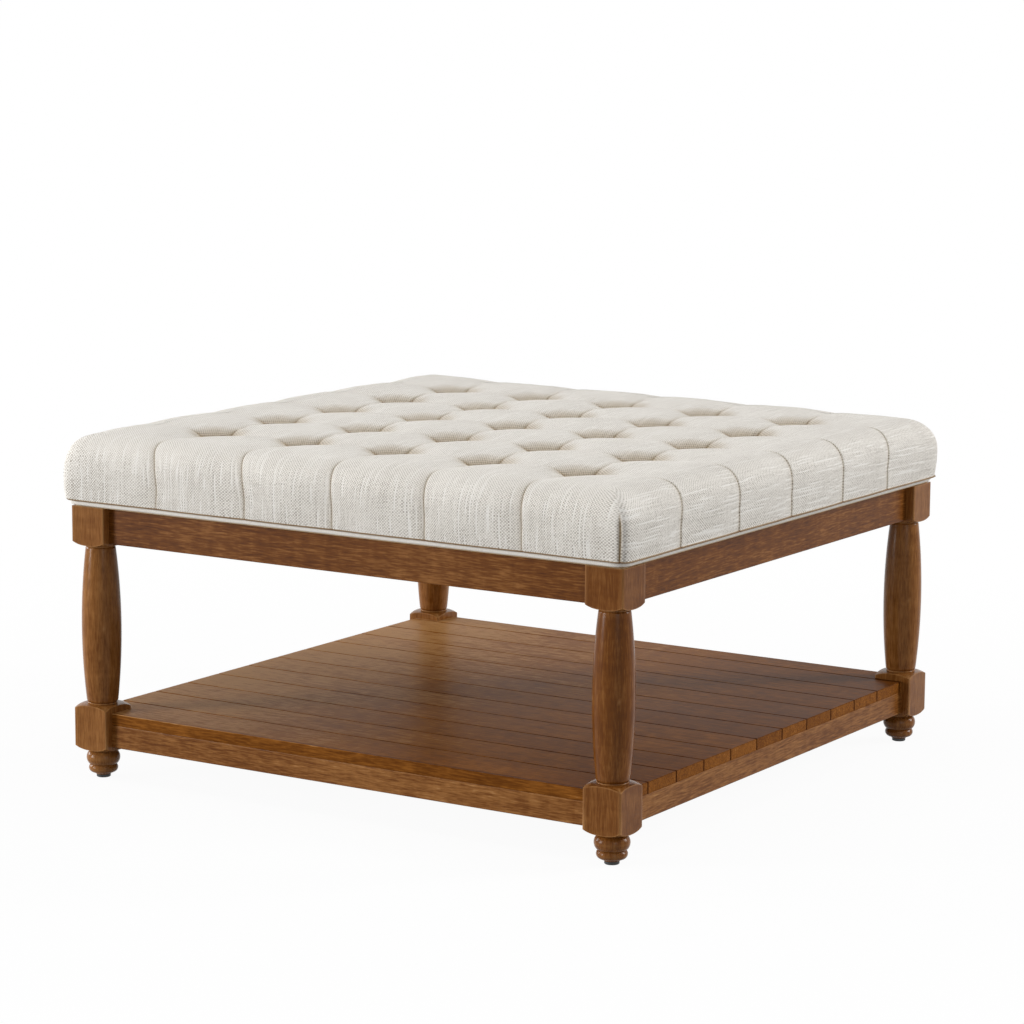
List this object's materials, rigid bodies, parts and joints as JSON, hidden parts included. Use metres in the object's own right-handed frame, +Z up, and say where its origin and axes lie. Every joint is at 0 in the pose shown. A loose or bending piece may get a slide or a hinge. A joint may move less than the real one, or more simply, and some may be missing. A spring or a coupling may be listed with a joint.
{
  "type": "ottoman coffee table",
  "caption": "Square ottoman coffee table: a blind-tufted linen cushion with a welt on four aprons, turned legs with block joints and bun feet, and a low planked shelf.",
  "frame": {"origin": "on the floor, under the middle of the table", "axes": "+Z up, +X to the right along the front, the shelf's planks run along X, front faces -Y"},
  "size_m": [0.9288, 0.9288, 0.4949],
  "materials": {
    "turned_wood": "warm brown satin stain, grain up the leg",
    "rail_wood": "warm brown satin stain, grain along the rail",
    "plank_wood": "warm brown satin stain, grain along the plank",
    "plain_wood": "planed softwood, unstained",
    "plywood": "sanded plywood, unstained",
    "linen": "off-white slub linen, plain weave",
    "welt_linen": "the same linen over cord",
    "dust_cloth": "black spun-bonded cloth",
    "foam": "open-cell upholstery foam",
    "steel": "bright zinc-plated steel",
    "glide_plastic": "black nylon",
    "twine": "waxed twine"
  },
  "bodies": {
    "root": {"leg_back_right": "turned_wood", "glide_back_right": "glide_plastic", "shelf_brace_back_right": "plain_wood", "apron_brace_back_right": "plain_wood", "leg_back_left": "turned_wood", "glide_back_left": "glide_plastic", "shelf_brace_back_left": "plain_wood", "apron_brace_back_left": "plain_wood", "leg_front_left": "turned_wood", "glide_front_left": "glide_plastic", "shelf_brace_front_left": "plain_wood", "apron_brace_front_left": "plain_wood", "leg_front_right": "turned_wood", "glide_front_right": "glide_plastic", "shelf_brace_front_right": "plain_wood", "apron_brace_front_right": "plain_wood", "apron_front": "rail_wood", "shelf_rail_front": "rail_wood", "apron_back": "rail_wood", "shelf_rail_back": "rail_wood", "apron_left": "rail_wood", "shelf_rail_left": "rail_wood", "apron_right": "rail_wood", "shelf_rail_right": "rail_wood", "plank_01": "plank_wood", "plank_02": "plank_wood", "plank_03": "plank_wood", "plank_04": "plank_wood", "plank_05": "plank_wood", "plank_06": "plank_wood", "plank_07": "plank_wood", "plank_08": "plank_wood", "plank_09": "plank_wood", "plank_10": "plank_wood", "plank_11": "plank_wood", "plank_12": "plank_wood", "batten_left": "plain_wood", "batten_right": "plain_wood", "hanger_bolts": "steel", "washers": "steel", "nuts": "steel", "deck_screws": "steel", "tuft_anchors": "steel", "deck": "plywood", "dust_cover": "dust_cloth", "welt": "welt_linen", "tufted_pad": "linen", "foam_core": "foam", "tuft_twines": "twine"}
  },
  "joints": []
}
